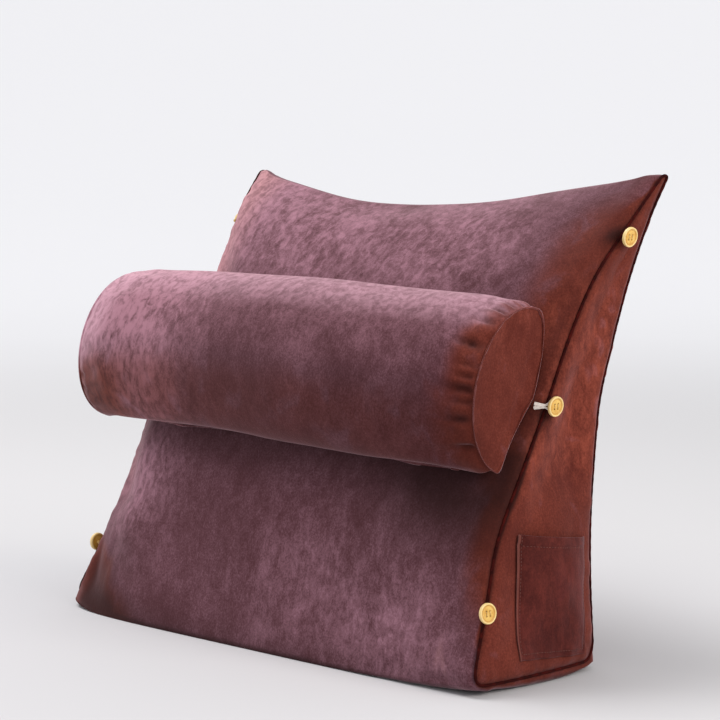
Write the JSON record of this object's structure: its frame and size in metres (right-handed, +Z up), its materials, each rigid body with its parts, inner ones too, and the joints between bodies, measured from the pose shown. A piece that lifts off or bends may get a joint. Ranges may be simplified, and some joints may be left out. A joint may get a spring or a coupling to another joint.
{
  "type": "wedge back pillow with bolster",
  "caption": "Soft wedge back-rest pillow standing on its narrow base, with a neck bolster held by elastic loops, a side pocket and four-hole buttons on its side seams.",
  "frame": {"origin": "middle of the flat patch that the pillow stands on", "axes": "+X along the width, towards the side with the pocket; +Y from the front panel to the back; +Z up"},
  "size_m": [0.6366, 0.3079, 0.4845],
  "materials": {
    "cloth": "short suede-like nap, mauve to red-brown",
    "bolster_cloth": "short suede-like nap, mauve",
    "piping": "bias strip round a cord, dark maroon",
    "button": "warm gold-yellow, satin",
    "thread": "twisted sewing thread",
    "elastic": "flat white braided elastic"
  },
  "bodies": {
    "root": {"wedge_cushion": "cloth", "bolster": "bolster_cloth", "pocket": "cloth", "side_piping_left": "piping", "side_piping_right": "piping", "button_left_low": "button", "button_left_middle": "button", "button_left_high": "button", "button_right_low": "button", "button_right_middle": "button", "button_right_high": "button", "shank_left_low": "thread", "shank_left_middle": "thread", "shank_left_high": "thread", "shank_right_low": "thread", "shank_right_middle": "thread", "shank_right_high": "thread", "loop_left": "elastic", "loop_right": "elastic"}
  },
  "joints": []
}
